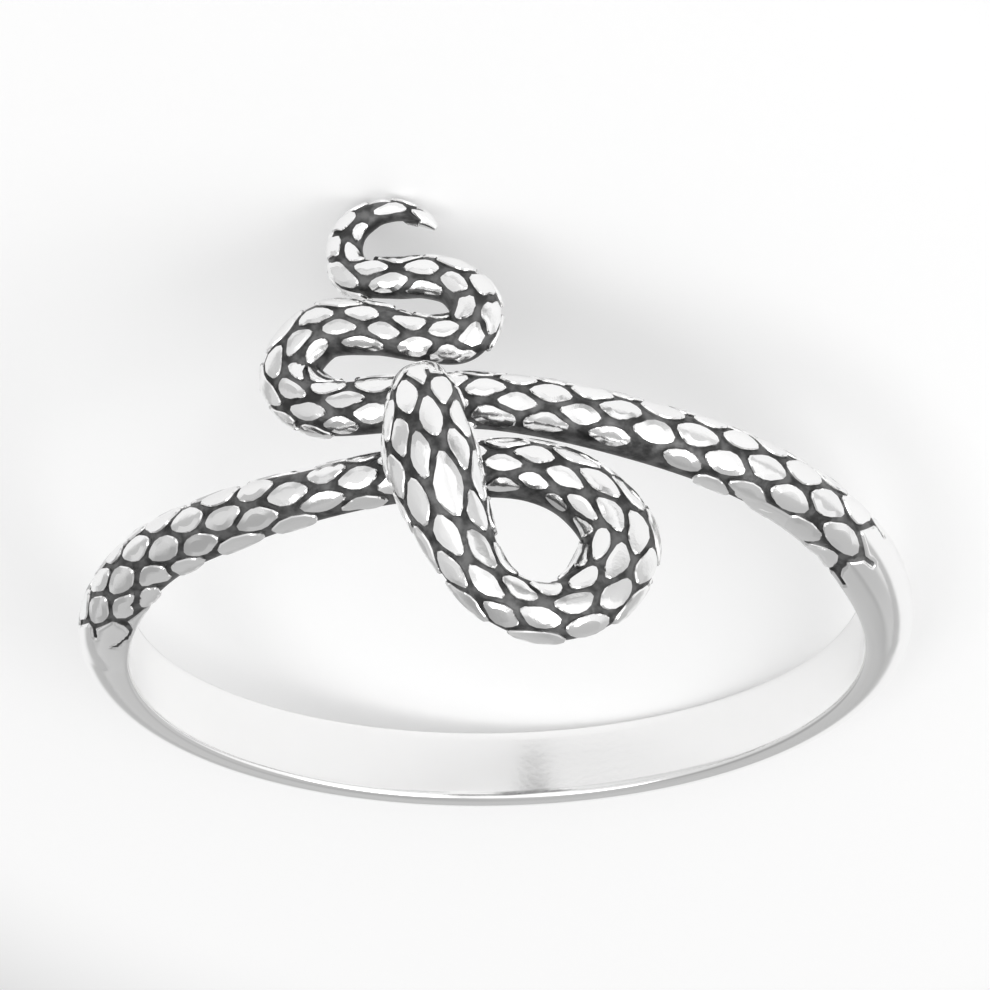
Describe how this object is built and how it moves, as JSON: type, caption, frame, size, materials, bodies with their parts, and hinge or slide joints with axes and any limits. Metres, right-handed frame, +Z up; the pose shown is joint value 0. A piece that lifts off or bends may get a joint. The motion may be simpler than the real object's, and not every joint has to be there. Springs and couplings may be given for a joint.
{
  "type": "snake wrap ring",
  "caption": "Finger ring cast as a snake: a plain band turns into two scaled arms, one looping forward into the head and one winding back into a hooked tail.",
  "frame": {"origin": "under the middle of the ring's bounding box, on the surface that the ring lies on", "axes": "+Z up from the surface, along the shortest extent; the head, the loop and the tail face -Y, and the plain band's far side is towards +Y"},
  "size_m": [0.0194, 0.0206, 0.0111],
  "materials": {
    "silver": "polished sterling silver, oxidised dark in the grooves between the scales"
  },
  "bodies": {
    "root": {"snake_ring": "silver"}
  },
  "joints": []
}
